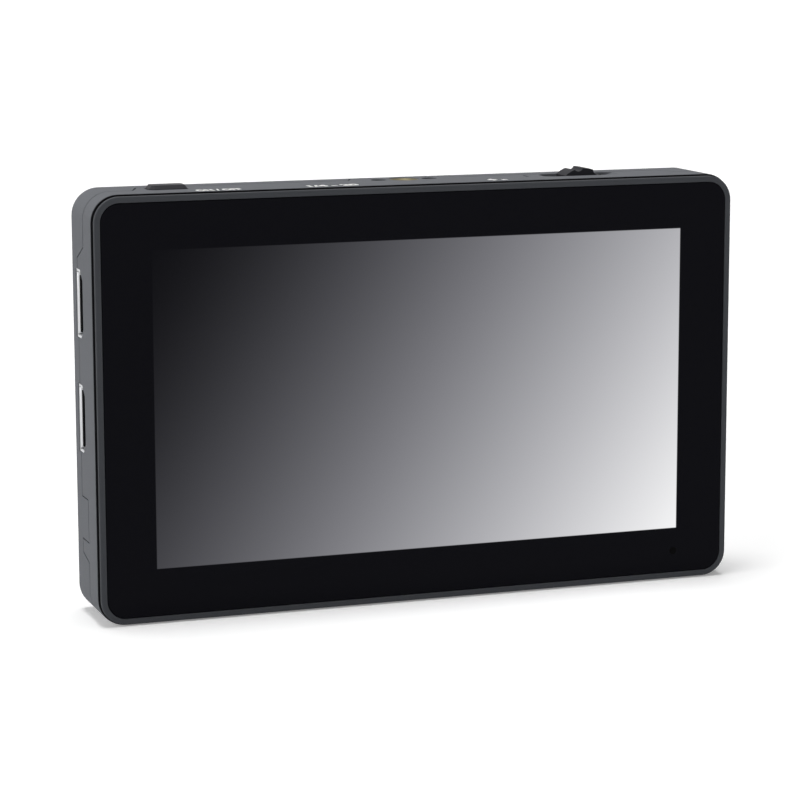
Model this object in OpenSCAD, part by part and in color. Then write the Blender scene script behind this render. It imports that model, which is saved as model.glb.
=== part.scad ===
// Camera field monitor: a 5.5 inch touch display in a moulded two-part housing.
// A power button and a toothed menu dial stand on the top face, two video sockets open on the left side,
// power, sound and service sockets on the right side, and a slide-on battery plate covers the back.
// X runs along the width, Y from the glass to the back, and Z up from the flat base.
// Depths are counted from the front face of the rim, heights from the base.

/* [Housing] */
// Width of the housing
body_w = 147.2; // [146:0.1:150]
// Height of the housing
body_h = 92.4; // [92:0.1:95]
// Corner radius of the housing
body_r = 5.9; // [5:0.1:7]
// Depth of the side walls, from the rim to the rear edge
side_depth = 20.1; // [20:0.1:21]
// Whole depth, with the battery plate
total_depth = 25.6; // [25.4:0.1:27]
// Wall thickness of the housing
wall = 2; // [1.8:0.1:2.2]
// Rounding of the rear edge
rear_round = 1.2; // [0.6:0.1:1.6]

/* [Front frame] */
// Width of the rim round the glass
rim_w = 1.3; // [1:0.05:1.6]
// Depth of the rim
rim_depth = 0.8; // [0.7:0.1:1.2]
// Width of the shadow groove between the rim and the housing
groove_w = 1.1; // [0.8:0.1:1.2]
// Gap between the rim and the glass
glass_gap = 0.12; // [0.05:0.01:0.2]

/* [Display] */
// Width of the picture
picture_w = 121.8; // [120:0.1:124]
// Height of the picture
picture_h = 68.5; // [67:0.1:70]
// Thickness of the cover glass
glass_t = 1.1; // [0.8:0.1:1.2]

/* [Parting line] */
// Depth of the parting line at the corners
seam_corner = 8.7; // [8:0.1:9.5]
// Depth of the parting line along the middle of each side
seam_middle = 14.2; // [13.9:0.1:14.6]
// Width of the groove that follows the parting line
seam_groove = 0.3; // [0.2:0.05:0.4]

/* [Top controls] */
// Centre of the power button, along X
button_x = -54.7; // [-57:0.1:-50]
// Length of the power button
button_l = 8.5; // [8:0.1:10]
// Height of the power button above the housing
button_proud = 0.9; // [0.8:0.1:1.3]
// Travel of the power button
button_travel = 0.4; // [0.2:0.05:0.4]
// Centre of the menu dial, along X
dial_x = 40.5; // [38:0.1:42]
// Radius of the menu dial
dial_r = 6.5; // [6:0.1:6.5]
// Number of teeth on the menu dial
dial_teeth = 9; // [7:1:10]
// Height of the menu dial above the housing
dial_proud = 1.65; // [1.2:0.05:1.7]
// Travel of the menu dial when it is pressed
dial_travel = 0.5; // [0.3:0.05:0.5]

/* [Mounting threads] */
// Depth of the thread's axis
thread_d = 13.4; // [13:0.1:13.6]
// Radius of the thread's wall, for a quarter-inch screw
thread_r = 2.6; // [2.5:0.05:2.7]
// Distance from the thread to each locating hole
pin_offset = 5.9; // [5.8:0.1:6.5]
// Radius of the locating holes
pin_r = 1.75; // [1.5:0.05:1.75]

/* [Battery plate] */
// Width of the battery plate
plate_w = 58; // [56:0.5:59]
// Height of the battery plate
plate_h = 75; // [74:0.5:76]
// Width of the raised rail that the battery slides on
rail_w = 30.4; // [29:0.1:32]
// Travel of the battery release
release_travel = 1.6; // [1:0.1:1.6]

/* [Hidden] */
$fn = 64;

moulding_grey = [0.20, 0.205, 0.215];
frame_black = [0.10, 0.10, 0.11];
control_black = [0.07, 0.07, 0.075];
glass_black = [0.02, 0.02, 0.025];
steel = [0.72, 0.73, 0.74];
brass = [0.75, 0.60, 0.28];
board_green = [0.06, 0.30, 0.16];
flex_amber = [0.60, 0.36, 0.10];

mid_z = body_h / 2;
gap = 0.1;
cut = 1;

// Front stack
glass_front = 0.1;
rim_step = 0.35;
glass_w = body_w - 2 * (rim_step + rim_w + glass_gap);
glass_h = body_h - 2 * (rim_step + rim_w + glass_gap);
glass_r = 4.1;
rim_outer_w = body_w - 2 * rim_step;
rim_outer_h = body_h - 2 * rim_step;
rim_outer_r = body_r - rim_step;
body_front = rim_depth + groove_w;
shelf_front = 5.5;
shelf_rear = 6.7;
panel_w = 126.4;
panel_h = 74.4;
tray_w = 128;
tray_h = 76;
tray_rear = 5.4;
frame_window_w = 129;
frame_window_h = 77;
shelf_window_w = 126.8;
shelf_window_h = 73.6;
status_x = 60.2;
status_z = mid_z - 39.5;

// Inside of the housing
cavity_w = body_w - 2 * wall;
cavity_h = body_h - 2 * wall;
cavity_r = body_r - wall;
rear_wall = side_depth - wall;
corner_post = [66.2, 38.5];
frame_screw_side = [68.1, 22];
frame_screw_top = [30, 41.3];

// Main board and what sits on it
board_front = 8.9;
board_rear = 10.3;
board_low = 12;
board_high = 73.3;
board_half = 70.5;
standoff_x = 54;
standoff_z = [17, 70];
leg_x = 50;
leg_z = [29, 59];
spreader_w = 112;
spreader_z = [25, 63];
spreader_d = 12.5;
fin_pitch = 4;

// Control board, under the top wall
control_low = 75.6;
control_high = 76.8;
control_front = 7;
control_rear = 14.2;
control_x = [-66, 51];
rib_x = [-40, 22];

// Controls
button_d = 10.8;
button_w = 5;
button_r = 1.2;
button_slope = 0.78;
dial_front = 7.7;
dial_rear = 13.2;
dial_d = (dial_front + dial_rear) / 2;
dial_z = body_h + dial_proud - dial_r;
dial_phase = 99.8;
flute_r = 1.17;
flute_out = 0.52;
axle_r = 0.8;
cradle_low = 79.4;
scoop_l = 18;
scoop_r = 20;
slot_w = 6;
slot_half = 6.2;

// Sockets
video_z = [68.15, 43.25];
video_d = 13.1;
video_half = 7.2;
video_high = 2.8;
video_bevel = 1.9;
video_sheet = 0.35;
video_mouth = body_w / 2 - 0.15;
video_back = 61.8;
right_face = body_w / 2 - 0.15;
headphone_z = 71;
service_z = 60.5;
power_out_z = 47;
power_in_z = 33;

// Battery plate
hump_w = 67;
hump_h = 84;
hump_r = 6.5;
hump_taper = 2.5;
hump_rear = 22.6;
plate_front = 21.6;
plate_rear = 23.4;
plate_r = 3;
latch_z = 77.3;
latch_bar_front = 19.7;
latch_bar_rear = 21.5;
tooth_w = 6;
release_x = 23.6;
spring_x = 11;
spring_seat = 15.7;
contact_z = [12, 20];
blade_x = [-9, 0, 9];
plug_z = 17;

// ---- Measures and shared shapes ----

// Row position of a depth behind the rim's front face
function y_at(d) = d - total_depth / 2;

// Extrudes an outline in X and Z, centred on the glass, from depth d0 to depth d1
module slab(d0, d1) {
    translate([0, y_at(d1), mid_z]) rotate([90, 0, 0]) linear_extrude(d1 - d0) children();
}

// A box between two widths, two depths and two heights
module block(x, d, z) {
    translate([x[0], y_at(d[0]), z[0]]) cube([x[1] - x[0], d[1] - d[0], z[1] - z[0]]);
}

// Round bars along each axis
module rod_y(x, z, r, d) {
    translate([x, y_at(d[0]), z]) rotate([-90, 0, 0]) cylinder(r = r, h = d[1] - d[0]);
}
module rod_z(x, d, r, z) {
    translate([x, y_at(d), z[0]]) cylinder(r = r, h = z[1] - z[0]);
}
module rod_x(d, z, r, x) {
    translate([x[0], y_at(d), z]) rotate([0, 90, 0]) cylinder(r = r, h = x[1] - x[0]);
}

module rounded_rect(w, h, r) {
    square([w - 2 * r, h], center = true);
    square([w, h - 2 * r], center = true);
    for (sx = [-1, 1], sy = [-1, 1]) translate([sx * (w / 2 - r), sy * (h / 2 - r)]) circle(r);
}

module ring(w, h, r, in_w, in_h, in_r) {
    difference() {
        rounded_rect(w, h, r);
        rounded_rect(in_w, in_h, in_r);
    }
}

module stadium(l, w) {
    square([l - w, w], center = true);
    for (s = [-1, 1]) translate([s * (l - w) / 2, 0]) circle(w / 2);
}

// Slab with rounded vertical corners and rounded edges, from z = 0 to z = t
module soft_block(w, h, r, t, low, high) {
    translate([0, 0, t / 2]) cube([w - 2 * r, h - 2 * r, t], center = true);
    for (sx = [0, 1], sy = [0, 1]) mirror([sx, 0, 0]) mirror([0, sy, 0]) translate([w / 2 - r, h / 2 - r, 0])
        rotate_extrude(angle = 90) soft_profile(r, t, low, high);
    for (s = [0, 1]) mirror([s, 0, 0]) translate([w / 2 - r, h / 2 - r, 0]) rotate([90, 0, 0])
        linear_extrude(h - 2 * r) soft_profile(r, t, low, high);
    for (s = [0, 1]) mirror([0, s, 0]) translate([r - w / 2, h / 2 - r, 0]) rotate([90, 0, 90])
        linear_extrude(w - 2 * r) soft_profile(r, t, low, high);
}

// Section of that slab from a corner's centre outwards
module soft_profile(r, t, low, high) {
    difference() {
        square([r, t]);
        if (low > 0) difference() {
            translate([r - low, -cut]) square([low + cut, low + cut]);
            translate([r - low, low]) circle(low);
        }
        if (high > 0) difference() {
            translate([r - high, t - high]) square([high + cut, high + cut]);
            translate([r - high, t - high]) circle(high);
        }
    }
}

// Slab with rounded corners whose sides lean in by c over its thickness
module taper_block(w, h, r, t, c) {
    for (sx = [-1, 1], sy = [-1, 1]) translate([sx * (w / 2 - r), sy * (h / 2 - r), 0])
        cylinder(r1 = r, r2 = r - c, h = t);
    translate([r - w / 2, 0, 0]) rotate([90, 0, 90]) linear_extrude(w - 2 * r) taper_section(h, t, c);
    if (h > 2 * r) translate([0, h / 2 - r, 0]) rotate([90, 0, 0])
        linear_extrude(h - 2 * r) taper_section(w, t, c);
}
module taper_section(w, t, c) {
    polygon([[-w / 2, 0], [w / 2, 0], [w / 2 - c, t], [c - w / 2, t]]);
}

// Repeats at a screw pattern round the middle of the glass
module at_corners(x, z) {
    for (sx = [-1, 1], sz = [-1, 1]) translate([sx * x, 0, mid_z + sz * z]) children();
}

// Turns what is made at the top face over to the base
module at_base() {
    translate([0, 0, body_h]) mirror([0, 0, 1]) children();
}

// Round wire coil that climbs along Z from 0 to length, with its ends closed up
function coil_angle(t, turns) = 360 * turns * t;
function coil_height(t, length, wire) = wire + (length - 2 * wire) * (t - sin(360 * t) / 12);
function coil_ring(t, r, turns, length, wire, sides) = [for (k = [0 : sides - 1])
    let (a = coil_angle(t, turns), b = 360 * k / sides)
    [(r + wire * cos(b)) * cos(a), (r + wire * cos(b)) * sin(a), coil_height(t, length, wire) + wire * sin(b)]];
module coil(r, turns, length, wire) {
    sides = 6;
    rings = 16 * turns;
    points = [for (i = [0 : rings]) each coil_ring(i / rings, r, turns, length, wire, sides)];
    tube = [for (i = [0 : rings - 1], k = [0 : sides - 1]) let (n = (k + 1) % sides)
        each [[i * sides + k, i * sides + n, (i + 1) * sides + n],
              [i * sides + k, (i + 1) * sides + n, (i + 1) * sides + k]]];
    caps = [[for (k = [sides - 1 : -1 : 0]) k], [for (k = [0 : sides - 1]) rings * sides + k]];
    polyhedron(points, concat(tube, caps), convexity = 6);
}

// ---- Front stack ----

module front_frame() {
    color(frame_black) difference() {
        union() {
            translate([0, y_at(rim_depth), mid_z]) rotate([90, 0, 0])
                soft_block(rim_outer_w, rim_outer_h, rim_outer_r, rim_depth, 0, 0.25);
            slab(rim_depth, body_front) rounded_rect(rim_outer_w - 1.4, rim_outer_h - 1.4, rim_outer_r - 0.7);
            slab(body_front, shelf_front - gap)
                rounded_rect(cavity_w - 2 * gap, cavity_h - 2 * gap, cavity_r - gap);
        }
        slab(-cut, glass_front + glass_t + 0.2)
            rounded_rect(glass_w + 2 * glass_gap, glass_h + 2 * glass_gap, glass_r + glass_gap);
        slab(0, shelf_front + cut) rounded_rect(frame_window_w, frame_window_h, 1.5);
        at_corners(frame_screw_side[0], frame_screw_side[1]) rod_y(0, 0, 0.85, [3.2, shelf_front + cut]);
        at_corners(frame_screw_top[0], frame_screw_top[1]) rod_y(0, 0, 0.85, [3.2, shelf_front + cut]);
        rod_y(status_x, status_z, 1.05, [0, shelf_front + cut]);
    }
}

module cover_glass() {
    color(glass_black) translate([0, y_at(glass_front + glass_t), mid_z]) rotate([90, 0, 0])
        soft_block(glass_w, glass_h, glass_r, glass_t, 0, 0.12);
}

// Black adhesive that holds the glass down on the frame
module glass_tape() {
    color(control_black) slab(glass_front + glass_t, glass_front + glass_t + 0.2)
        difference() {
            ring(glass_w - 1, glass_h - 1, glass_r - 0.5, frame_window_w + 1, frame_window_h + 1, 2);
            translate([status_x, status_z - mid_z]) circle(1.3);
        }
}

// Clear adhesive between the glass and the panel
module bonding_layer() {
    color([0.85, 0.87, 0.9]) slab(glass_front + glass_t, glass_front + glass_t + 0.15)
        rounded_rect(picture_w + 2.4, picture_h + 2.4, 0.8);
}

module display_panel() {
    color([0.16, 0.16, 0.18]) slab(glass_front + glass_t + 0.15, 2.9) rounded_rect(panel_w, panel_h, 0.8);
}

module backlight_unit() {
    color("white") slab(2.95, 4.75) rounded_rect(panel_w, panel_h, 0.8);
}

// Pressed tray that holds the panel and its backlight, with a notch for their flat cables
module panel_tray() {
    color(steel) difference() {
        slab(2, tray_rear) rounded_rect(tray_w, tray_h, 1.4);
        slab(2 - cut, 4.8) rounded_rect(tray_w - 1, tray_h - 1, 0.9);
        block([-16, 36], [0, 4.8], [mid_z - tray_h / 2 - cut, mid_z - tray_h / 2 + 1]);
        at_standoffs() rod_y(0, 0, 0.95, [0, tray_rear + cut]);
    }
}

// Clear rod that brings the status light to the lower right corner of the glass
module status_light_pipe() {
    color([0.8, 0.85, 0.85]) {
        rod_y(status_x, status_z, 1, [glass_front + glass_t + 0.05, shelf_front]);
        rod_y(status_x, status_z, 1.6, [shelf_front, shelf_front + 1]);
    }
}

// ---- Housing ----

// Outer form of both halves, with the raised field under the battery plate
module housing_form() {
    translate([0, y_at(side_depth), mid_z]) rotate([90, 0, 0])
        soft_block(body_w, body_h, body_r, side_depth - body_front, rear_round, 0.15);
    translate([0, y_at(side_depth), mid_z]) rotate([-90, 0, 0])
        taper_block(hump_w, hump_h, hump_r, hump_rear - side_depth, hump_taper);
}

module housing_shell() {
    difference() {
        housing_form();
        slab(body_front - cut, rear_wall) rounded_rect(cavity_w, cavity_h, cavity_r);
    }
}

// What lies in front of the parting line: the line runs at one depth round the corners and steps back
// along the middle of each side, past the sockets and round the mounting threads
module front_zone(e) {
    block([-body_w, body_w], [-cut, seam_corner + e], [-body_h, 2 * body_h]);
    for (s = [0, 1]) mirror([s, 0, 0]) {
        side_tab([[26.4 - e, seam_corner], [26.4 - e, seam_middle + e],
                  [77.9 + e, seam_middle + e], [80.6 + e, seam_corner]]);
        side_tab([[12.5 - e, seam_corner], [14 - e, seam_middle + e],
                  [16.7 + e, seam_middle + e], [16.7 + e, seam_corner]]);
    }
    for (z = [mid_z + 36, -cut]) {
        top_tab(z, [[-62.5 - e, seam_corner], [-60.4 - e, seam_middle + e],
                    [61.2 + e, seam_middle + e], [63.6 + e, seam_corner]]);
        top_tab(z, [[-12.5 - e, seam_middle], [-11 - e, 17.7 + e], [11 + e, 17.7 + e], [12.5 + e, seam_middle]]);
    }
}
// A tab in a side wall, given by heights and depths
module side_tab(points) {
    translate([60, 0, 0]) rotate([90, 0, 90]) linear_extrude(20)
        polygon([for (p = points) [y_at(p[1]), p[0]]]);
}
// A tab in the top or bottom wall, given by widths and depths
module top_tab(z, points) {
    translate([0, 0, z]) linear_extrude(body_h - mid_z - 36 + cut)
        polygon([for (p = points) [p[0], y_at(p[1])]]);
}

// Block that holds a thread insert, at the top
module insert_boss() {
    block([-11, 11], [8.6, 17.9], [body_h - 9.2, body_h - wall]);
}
module insert_pocket() {
    rod_z(0, thread_d, 3.35, [body_h - 5, body_h + cut]);
    translate([0, y_at(thread_d), body_h - 8.05]) cylinder(r = hex_r(7.9), h = 3.7, $fn = 6);
    for (s = [-1, 1]) rod_z(s * pin_offset, thread_d, pin_r, [body_h - 4, body_h + cut]);
}
function hex_r(across) = across / sqrt(3);

// Openings for the video sockets on the left and the jacks on the right, cut through both halves
module socket_openings() {
    for (z = video_z) {
        translate([-body_w / 2 - cut, y_at(video_d), z]) rotate([90, 0, 90])
            linear_extrude(wall + 2 * cut) video_outline(0.25);
    }
    rod_x(13.1, headphone_z, 3.15, [body_w / 2 - wall - cut, body_w / 2 + cut]);
    translate([body_w / 2 - wall - cut, y_at(12), service_z]) rotate([90, 0, 90])
        linear_extrude(wall + 2 * cut) rotate(90) stadium(9.3, 3.7);
    for (z = [power_out_z, power_in_z]) rod_x(13.6, z, 4.05, [body_w / 2 - wall - cut, body_w / 2 + cut]);
}

module front_housing() {
    color(moulding_grey) difference() {
        union() {
            intersection() {
                housing_shell();
                front_zone(0);
            }
            slab(shelf_front, shelf_rear) ring(cavity_w + 0.02, cavity_h + 0.02, cavity_r,
                                               shelf_window_w, shelf_window_h, 1.5);
            at_corners(corner_post[0], corner_post[1]) rod_y(0, 0, 3, [shelf_front, seam_corner]);
            insert_boss();
            at_base() insert_boss();
            for (x = rib_x) block([x - 2, x + 2], [shelf_front, 13.4], [control_low - 1.9, control_low]);
            for (x = rib_x) block([x - 2, x + 2], [shelf_front, shelf_rear], [control_low - 1.9, mid_z + 37.5]);
        }
        insert_pocket();
        at_base() insert_pocket();
        socket_openings();
        // Power button and menu dial openings, the dial's with a finger scoop at both ends
        translate([button_x, y_at(button_d), body_h - wall - cut]) linear_extrude(wall + 2 * cut)
            rounded_rect(button_l + 0.5, button_w + 0.5, button_r + 0.25);
        intersection() {
            rod_y(dial_x, body_h + sqrt(scoop_r * scoop_r - scoop_l * scoop_l / 4), scoop_r, [0, seam_middle]);
            translate([dial_x, y_at(dial_d), body_h - wall - cut]) linear_extrude(wall + 2 * cut)
                stadium(scoop_l + 1, slot_w);
        }
        block([dial_x - slot_half, dial_x + slot_half], [dial_d - slot_w / 2, dial_d + slot_w / 2],
              [body_h - wall - cut, body_h + cut]);
        block([dial_x - 6.4, dial_x + 6.4], [shelf_front - cut, shelf_rear + cut], [80, body_h - wall]);
        translate([27.9, y_at(10.8), body_h - wall - cut]) linear_extrude(wall + 2 * cut) rotate(90) stadium(3, 0.6);
        at_corners(corner_post[0], corner_post[1]) rod_y(0, 0, 1.05, [shelf_front + 0.6, seam_corner + cut]);
        at_corners(frame_screw_side[0], frame_screw_side[1]) rod_y(0, 0, 0.95, [shelf_front - cut, shelf_rear + cut]);
        at_corners(frame_screw_top[0], frame_screw_top[1]) rod_y(0, 0, 0.95, [shelf_front - cut, shelf_rear + cut]);
        rod_y(status_x, status_z, 1.8, [shelf_front - cut, shelf_rear + cut]);
        block([-16, 36], [shelf_front - cut, shelf_rear + cut], [mid_z - 39.3, mid_z - 36]);
        for (x = rib_x) rod_z(x, 10.6, 0.7, [control_low - 1.6, control_low + cut]);
    }
}

// Vent slots beside the battery plate
module vents() {
    for (s = [-1, 1], k = [-4 : 4]) translate([s * 52, y_at(rear_wall - cut), mid_z + 6 * k]) rotate([-90, 0, 0])
        linear_extrude(wall + 2 * cut) stadium(22, 2.2);
}

module rear_housing() {
    color(moulding_grey) difference() {
        union() {
            difference() {
                housing_shell();
                front_zone(0);
            }
            at_corners(corner_post[0], corner_post[1]) rod_y(0, 0, 3.4, [seam_corner + 0.05, rear_wall + 0.01]);
            block([-8, 31], [14.9, rear_wall + 0.01], [latch_z - 5.2, latch_z + 5.2]);
        }
        // Groove along the parting line
        difference() {
            front_zone(seam_groove);
            slab(0, rear_wall) rounded_rect(body_w - 1, body_h - 1, body_r - 0.5);
        }
        socket_openings();
        vents();
        at_corners(corner_post[0], corner_post[1]) rod_y(0, 0, 1.15, [seam_corner - cut, rear_wall]);
        at_corners(corner_post[0], corner_post[1]) rod_y(0, 0, 2.5, [12, side_depth + cut]);
        slab(plate_front, hump_rear + cut) rounded_rect(plate_w + 0.3, plate_h + 0.3, plate_r + 0.15);
        // Well of the battery release and its spring
        block([-4.3, 27.9], [17.7, plate_front + cut], [latch_z - 3.9, latch_z + 3.9]);
        rod_y(spring_x, latch_z, 2.1, [spring_seat, plate_front]);
        block([-5, 5], [rear_wall - cut, plate_front + cut], [plug_z - 2.5, plug_z + 2.5]);
        plate_screw_spots() rod_y(0, 0, 0.85, [17, plate_front + cut]);
        // Hollow behind the battery plate, with its screw posts left standing
        difference() {
            slab(rear_wall - cut, plate_front - 1.6) rounded_rect(plate_w - 4, plate_h - 4, 2);
            block([-8, 31], [14, plate_front], [latch_z - 5.2, latch_z + 5.2]);
            plate_screw_spots() rod_y(0, 0, 2.6, [17, plate_front]);
        }
    }
}

module housing_screws() {
    color(steel) at_corners(corner_post[0], corner_post[1]) difference() {
        union() {
            rod_y(0, 0, 1, [6.3, 12.05]);
            rod_y(0, 0, 2.1, [12.05, 13.5]);
        }
        screw_cross(13.5, 1.2);
    }
}

// Cross recess in a screw head whose face is at depth d
module screw_cross(d, size) {
    for (a = [0, 90]) rotate([0, a, 0]) block([-size, size], [d - 0.7, d + cut], [-0.2, 0.2]);
}

module frame_screws() {
    color(steel) {
        at_corners(frame_screw_side[0], frame_screw_side[1]) frame_screw();
        at_corners(frame_screw_top[0], frame_screw_top[1]) frame_screw();
    }
}
module frame_screw() {
    difference() {
        union() {
            rod_y(0, 0, 0.8, [3.4, shelf_rear + 0.05]);
            rod_y(0, 0, 1.4, [shelf_rear + 0.05, shelf_rear + 0.9]);
        }
        screw_cross(shelf_rear + 0.9, 0.8);
    }
}

// ---- Boards and cooling ----

module at_standoffs() {
    for (s = [-1, 1], z = standoff_z) translate([s * standoff_x, 0, z]) children();
}
module at_legs() {
    for (s = [-1, 1], z = leg_z) translate([s * leg_x, 0, z]) children();
}

module main_board() {
    color(board_green) difference() {
        block([-board_half, board_half], [board_front, board_rear], [board_low, board_high]);
        at_standoffs() rod_y(0, 0, 1.1, [board_front - cut, board_rear + cut]);
        at_legs() rod_y(0, 0, 1.1, [board_front - cut, board_rear + cut]);
    }
}

module board_standoffs() {
    color(brass) at_standoffs() difference() {
        translate([0, y_at(tray_rear), 0]) rotate([-90, 0, 0])
            cylinder(r = hex_r(4.5), h = board_front - tray_rear, $fn = 6);
        rod_y(0, 0, 1, [tray_rear - cut, board_front + cut]);
    }
}

module board_screws() {
    color(steel) at_standoffs() {
        rod_y(0, 0, 0.9, [6.4, board_rear]);
        rod_y(0, 0, 1.8, [board_rear, board_rear + 1.2]);
    }
}

module processor_chip() {
    color(control_black) block([-8, 8], [board_rear, board_rear + 1.6], [36, 52]);
}

module thermal_pad() {
    color([0.55, 0.62, 0.72]) block([-8.5, 8.5], [board_rear + 1.6, spreader_d], [35.5, 52.5]);
}

// Finned plate that carries the processor's heat to the vents
module heat_spreader() {
    color([0.62, 0.63, 0.65]) difference() {
        union() {
            block([-spreader_w / 2, spreader_w / 2], [spreader_d, spreader_d + 1.2], spreader_z);
            for (x = [-52 : fin_pitch : 52])
                block([x - 0.5, x + 0.5], [spreader_d + 1, 17.4], spreader_z);
            at_legs() rod_y(0, 0, 2.4, [board_rear + 0.05, spreader_d + 0.1]);
        }
        at_legs() rod_y(0, 0, 0.95, [board_rear - cut, spreader_d]);
    }
}

module spreader_screws() {
    color(steel) at_legs() {
        rod_y(0, 0, 0.9, [board_front, spreader_d - 0.3]);
        rod_y(0, 0, 1.7, [board_front - 1, board_front]);
    }
}

// Flat cable from the lower edge of a panel, round the tray and up to the main board
module flat_cable(x, start_d, start_z) {
    low = mid_z - tray_h / 2 - 0.35;
    t = 0.12;
    color(flex_amber) translate([x[0], 0, 0]) rotate([90, 0, 90]) linear_extrude(x[1] - x[0])
        polygon([[y_at(start_d), start_z], [y_at(start_d), low], [y_at(7.4), low], [y_at(7.4), 15],
                 [y_at(7.4 - t), 15], [y_at(7.4 - t), low + t], [y_at(start_d + t), low + t],
                 [y_at(start_d + t), start_z]]);
    color("ivory") block([x[0] + 1, x[1] - 1], [7.42, board_front], [12.6, 15.4]);
}
module display_flex() {
    flat_cable([-14, 14], 2.92, mid_z - panel_h / 2 - 0.05);
}
module touch_flex() {
    flat_cable([22, 34], 1.22, mid_z - frame_window_h / 2 + 0.5);
}

module control_board() {
    color(board_green) difference() {
        block(control_x, [control_front, control_rear], [control_low, control_high]);
        for (x = rib_x) rod_z(x, 10.6, 0.8, [control_low - cut, control_high + cut]);
    }
}

module control_board_screws() {
    color(steel) for (x = rib_x) {
        rod_z(x, 10.6, 0.65, [control_low - 1.5, control_high]);
        rod_z(x, 10.6, 1.3, [control_high, control_high + 0.9]);
    }
}

// Short flat cable from the control board down to the main board
module control_flex() {
    color(flex_amber) block([-12, -2], [board_rear, board_rear + 0.15], [68, control_low]);
}

// ---- Top controls ----

module power_button() {
    color(control_black) {
        translate([button_x, y_at(button_d), body_h - wall - 0.2]) {
            linear_extrude(wall + 0.2 + button_proud - button_slope) rounded_rect(button_l, button_w, button_r);
            translate([0, 0, wall + 0.2 + button_proud - button_slope])
                taper_block(button_l, button_w, button_r, button_slope, 0.63);
            translate([0, 0, -1]) linear_extrude(1) rounded_rect(button_l + 2.2, button_w + 0.8, button_r);
        }
        rod_z(button_x, button_d, 1.8, [switch_top() + 0.5, body_h - wall - 0.5]);
    }
}
function switch_top() = control_high + 4;

module power_switch() {
    color([0.25, 0.25, 0.27]) {
        block([button_x - 3, button_x + 3], [button_d - 2.8, button_d + 3], [control_high, control_high + 3.4]);
        rod_z(button_x, button_d, 1.6, [control_high + 3.4, switch_top()]);
    }
}

// Wheel with round flutes between its teeth and a round bore
module menu_dial() {
    color(control_black) translate([dial_x, y_at(dial_rear), dial_z]) rotate([90, 0, 0])
        linear_extrude(dial_rear - dial_front) difference() {
            circle(dial_r);
            for (k = [0 : dial_teeth - 1]) rotate(dial_phase + 360 * k / dial_teeth)
                translate([dial_r + flute_out, 0]) circle(flute_r);
            circle(axle_r + 0.05);
        }
}

module dial_axle() {
    color(steel) rod_y(dial_x, dial_z, axle_r, [6.55, 14.35]);
}

// Cradle that carries the axle and sinks when the dial is pressed
module dial_carriage() {
    color([0.16, 0.16, 0.17]) difference() {
        union() {
            block([dial_x - 3.9, dial_x + 3.9], [6.6, 14.3], [cradle_low, cradle_low + 1.4]);
            for (d = [[6.6, 7.5], [13.4, 14.3]]) {
                block([dial_x - 2.8, dial_x + 2.8], d, [cradle_low + 1, cradle_low + 3.4]);
                block([dial_x - 1.6, dial_x + 1.6], d, [cradle_low + 1, dial_z]);
                rod_y(dial_x, dial_z, 1.6, d);
            }
        }
        rod_y(dial_x, dial_z, axle_r + 0.01, [6, 15]);
    }
}

// Switch base with two guide walls for the cradle and a seat for its spring
module dial_switch() {
    color([0.25, 0.25, 0.27]) difference() {
        block([dial_x - 5.1, dial_x + 5.1], [control_front, control_rear], [control_high, cradle_low + 2.3]);
        block([dial_x - 4.2, dial_x + 4.2], [control_front - cut, control_rear + cut],
              [cradle_low - dial_travel - 0.3, cradle_low + 3]);
        rod_z(dial_x, dial_d, 2, [cradle_low - 2.2, cradle_low]);
    }
}

module dial_spring() {
    color(steel) translate([dial_x, y_at(dial_d), cradle_low - 2.18]) coil(1.45, 3, 2.16, 0.13);
}

// ---- Mounting threads ----

// Brass insert with a collar that reaches the surface and a hexagon that holds it in its block
module thread_insert() {
    color(brass) difference() {
        union() {
            rod_z(0, thread_d, 3.3, [body_h - 4.5, body_h - 0.1]);
            translate([0, y_at(thread_d), body_h - 8]) cylinder(r = hex_r(7.8), h = 3.6, $fn = 6);
        }
        rod_z(0, thread_d, thread_r, [body_h - 7.4, body_h + cut]);
        translate([0, y_at(thread_d), body_h - 0.5]) cylinder(r1 = thread_r, r2 = thread_r + 0.4, h = 0.41);
    }
}
module top_thread_insert() {
    thread_insert();
}
module bottom_thread_insert() {
    at_base() thread_insert();
}

// ---- Sockets ----

// Outline of a video socket in depth and height, with its narrow side towards the glass
module video_outline(e) {
    polygon([[video_high + e, -video_half - e], [video_high + e, video_half + e],
             [video_bevel - video_high, video_half + e], [-video_high - e, video_half - video_bevel],
             [-video_high - e, video_bevel - video_half], [video_bevel - video_high, -video_half - e]]);
}

// Folded steel shell with a flared mouth and spring windows
module video_socket(z) {
    color(steel) translate([-video_mouth, y_at(video_d), z]) rotate([90, 0, 90]) difference() {
        union() {
            linear_extrude(video_mouth - video_back) video_outline(0);
            linear_extrude(0.45) video_outline(0.18);
        }
        translate([0, 0, -cut]) linear_extrude(video_mouth - video_back - video_sheet + cut)
            video_outline(-video_sheet);
        for (h = [-3.4, 3.4], s = [-1, 1]) translate([s * video_high, h, 4]) cube([1.6, 2, 5], center = true);
    }
}

// Insulator with the contact tongue in the middle of the socket
module video_tongue(z) {
    back = -video_back - video_sheet - 0.05;
    color(control_black) {
        block([-video_mouth + 0.2, back - 2], [video_d - 0.2, video_d + 1.05], [z - 6.1, z + 6.1]);
        block([back - 2.4, back], [video_d - 1.9, video_d + 2.3], [z - 5.2, z + 5.2]);
    }
}
module upper_video_socket() {
    video_socket(video_z[0]);
}
module upper_video_tongue() {
    video_tongue(video_z[0]);
}
module lower_video_socket() {
    video_socket(video_z[1]);
}
module lower_video_tongue() {
    video_tongue(video_z[1]);
}

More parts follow.
